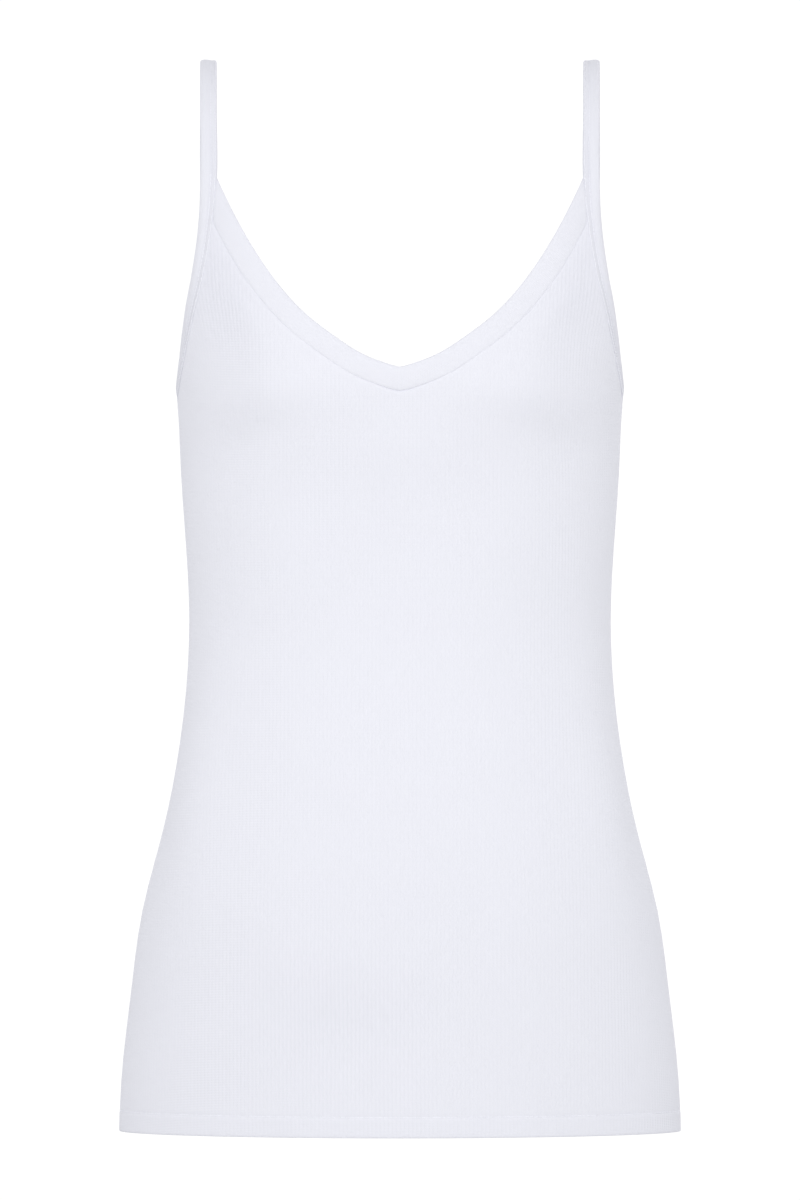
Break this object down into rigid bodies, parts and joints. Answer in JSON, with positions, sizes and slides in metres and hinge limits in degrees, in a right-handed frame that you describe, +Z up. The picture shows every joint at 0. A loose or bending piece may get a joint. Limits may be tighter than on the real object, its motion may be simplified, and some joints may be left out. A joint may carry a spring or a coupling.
{
  "type": "spaghetti strap top",
  "caption": "Sleeveless fine rib knit top in its worn form: V neckline with a folded band, narrow straps that bind the armholes, shaped waist and a flared, turned-up hem.",
  "frame": {"origin": "midway between the two straps, at the height of their undersides where they cross the shoulders", "axes": "+Z up; the front of the garment faces -Y; +X is the wearer's left; the side seams lie in the plane y = 0"},
  "size_m": [0.3472, 0.2295, 0.6637],
  "materials": {
    "rib_knit": "matte fine vertical rib",
    "folded_strip": "matte, smoother than the rib"
  },
  "bodies": {
    "root": {"front_panel": "rib_knit", "back_panel": "rib_knit", "front_neck_band": "folded_strip", "back_neck_band": "folded_strip", "left_strap": "folded_strip", "right_strap": "folded_strip"}
  },
  "joints": []
}
